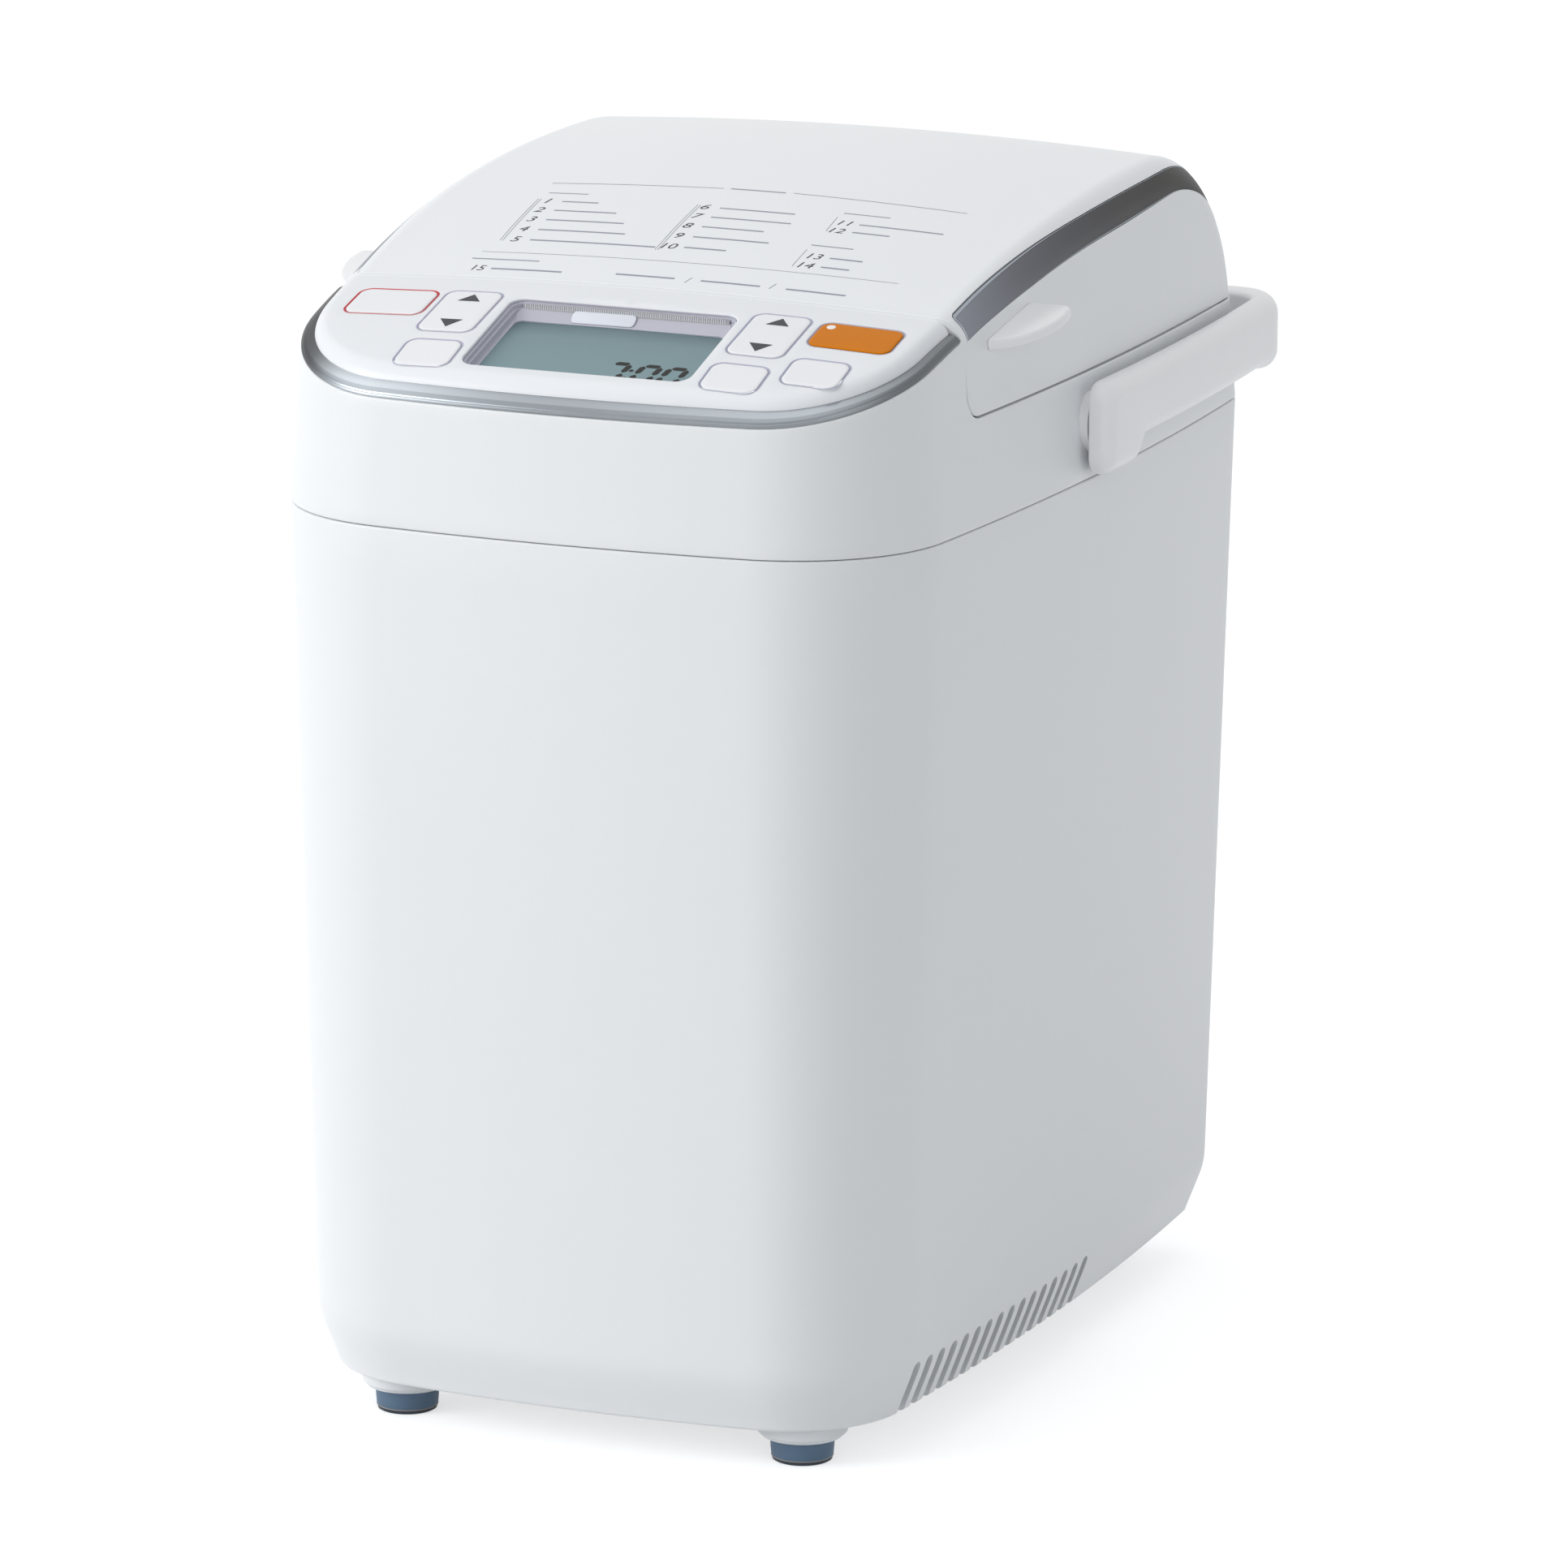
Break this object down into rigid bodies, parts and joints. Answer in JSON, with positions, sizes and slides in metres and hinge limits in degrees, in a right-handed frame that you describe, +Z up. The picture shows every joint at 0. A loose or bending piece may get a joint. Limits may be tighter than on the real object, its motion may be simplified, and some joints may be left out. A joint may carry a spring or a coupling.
{
  "type": "bread machine",
  "caption": "Tall bread machine with a bowed white case, sloped key panel, hinged lid, carry handle, baking chamber and lift-out kneading pan.",
  "frame": {"origin": "on the worktop, below the middle of the bounding box", "axes": "+Z up, -Y towards the user at the key panel, +X to the right of someone facing the panel"},
  "size_m": [0.2352, 0.3254, 0.3665],
  "materials": {
    "white_abs": "satin warm white ABS",
    "lid_white": "satin white ABS, slightly translucent",
    "silver_trim": "satin chrome",
    "dark_strip": "dark grey with a bright bevel",
    "slate_rubber": "slate-blue rubber",
    "dark_plastic": "matt",
    "bezel": "matt",
    "lcd_glass": "display glass, teal grey",
    "start_orange": "satin orange",
    "lamp_white": "light guide",
    "board": "circuit board laminate",
    "power_laminate": "circuit board laminate",
    "sheet_steel": "drawn sheet",
    "pin_steel": "plated steel",
    "gasket": "silicone",
    "heater_tube": "oxidised tube",
    "pan_coat": "non-stick coating",
    "bronze": "sintered bronze",
    "zinc": "die cast",
    "belt_rubber": "toothed belt",
    "motor_steel": "motor can"
  },
  "bodies": {
    "case": {"lower_case": "white_abs", "upper_case": "white_abs", "base_plate": "white_abs", "rubber_feet": "slate_rubber", "case_screws": "pin_steel", "cord_gland": "dark_plastic", "panel_trim": "silver_trim", "panel_cover": "white_abs", "display_bezel": "bezel", "display_glass": "lcd_glass", "display_module": "dark_plastic", "key_switches": "dark_plastic", "control_board": "board", "power_board": "power_laminate", "hinge_brackets": "white_abs", "hinge_pins": "pin_steel", "handle_pivots": "white_abs", "chamber": "sheet_steel", "chamber_rim": "white_abs", "heater": "heater_tube", "temperature_sensor": "zinc", "chassis": "sheet_steel", "pan_socket": "zinc", "motor": "motor_steel", "drive_belt": "belt_rubber", "drive_bearing": "bronze"},
    "lid": {"lid_cover": "lid_white", "lid_side_right": "white_abs", "lid_side_left": "white_abs", "lid_trim_right": "dark_strip", "lid_trim_left": "dark_strip", "lid_tabs": "white_abs", "lid_frame": "white_abs", "lid_liner": "sheet_steel", "lid_gasket": "gasket", "steam_grille": "white_abs", "hinge_knuckles": "white_abs"},
    "handle": {"carry_handle": "white_abs"},
    "cancel": {"cancel_key": "white_abs"},
    "crust": {"crust_key": "white_abs"},
    "timer": {"timer_key": "white_abs"},
    "cycle": {"cycle_key": "white_abs"},
    "start": {"start_key": "start_orange", "start_lamp": "lamp_white"},
    "course": {"course_key": "white_abs"},
    "time": {"time_key": "white_abs"},
    "pan": {"bread_pan": "pan_coat", "pan_seal": "dark_plastic"},
    "bail": {"pan_bail": "pin_steel"},
    "blade": {"pan_shaft": "pin_steel", "kneading_blade": "pan_coat"},
    "drive": {"drive_pulley": "dark_plastic", "drive_shaft": "pin_steel", "drive_coupling": "zinc"},
    "rotor": {"motor_pulley": "zinc"}
  },
  "joints": [
    {"name": "lid_hinge", "type": "hinge", "parent": "case", "child": "lid", "pos_m": [0, 0.13961, 0.3154], "axis": [-1, 0, 0], "range_deg": [0, 80]},
    {"name": "handle_hinge", "type": "hinge", "parent": "case", "child": "handle", "pos_m": [0, -0.00465, 0.2965], "axis": [1, 0, 0], "range_deg": [0, 90]},
    {"name": "cancel_key_press", "type": "slide", "parent": "case", "child": "cancel", "axis": [0.0434, 0.2655, -0.9631], "range_m": [0, 0.0007], "stiffness_N_per_m": 400, "springref_m": -0.001},
    {"name": "crust_key_press", "type": "slide", "parent": "case", "child": "crust", "axis": [0.0285, 0.3496, -0.9365], "range_m": [0, 0.0007], "stiffness_N_per_m": 400, "springref_m": -0.001},
    {"name": "timer_key_press", "type": "slide", "parent": "case", "child": "timer", "axis": [-0.0291, 0.3496, -0.9365], "range_m": [0, 0.0007], "stiffness_N_per_m": 400, "springref_m": -0.001},
    {"name": "cycle_key_press", "type": "slide", "parent": "case", "child": "cycle", "axis": [-0.0422, 0.3292, -0.9433], "range_m": [0, 0.0007], "stiffness_N_per_m": 400, "springref_m": -0.001},
    {"name": "start_key_press", "type": "slide", "parent": "case", "child": "start", "axis": [-0.0442, 0.2637, -0.9636], "range_m": [0, 0.0007], "stiffness_N_per_m": 400, "springref_m": -0.001},
    {"name": "course_key_rock", "type": "hinge", "parent": "case", "child": "course", "pos_m": [-0.04928, -0.11694, 0.33367], "axis": [0.9996, -0.0081, 0.0279], "range_deg": [-2, 2], "stiffness_Nm_per_rad": 0.02},
    {"name": "time_key_rock", "type": "hinge", "parent": "case", "child": "time", "pos_m": [0.04948, -0.11655, 0.33378], "axis": [0.9996, 0.0081, -0.028], "range_deg": [-2, 2], "stiffness_Nm_per_rad": 0.02},
    {"name": "pan_lift", "type": "slide", "parent": "case", "child": "pan", "axis": [0, 0, 1], "range_m": [0, 0.045]},
    {"name": "bail_hinge", "type": "hinge", "parent": "pan", "child": "bail", "pos_m": [0, 0.02735, 0.2577], "axis": [1, 0, 0], "range_deg": [0, 180]},
    {"name": "blade_spin", "type": "hinge", "parent": "pan", "child": "blade", "pos_m": [0, 0.02735, 0.12], "axis": [0, 0, 1], "continuous": true},
    {"name": "drive_spin", "type": "hinge", "parent": "case", "child": "drive", "pos_m": [0, 0.02735, 0.046], "axis": [0, 0, 1], "continuous": true},
    {"name": "motor_spin", "type": "hinge", "parent": "case", "child": "rotor", "pos_m": [0, -0.11265, 0.046], "axis": [0, 0, 1], "continuous": true}
  ],
  "couplings": [
    {"joint": "blade_spin", "follows": "drive_spin", "ratio": 1},
    {"joint": "motor_spin", "follows": "drive_spin", "ratio": 4.4}
  ]
}
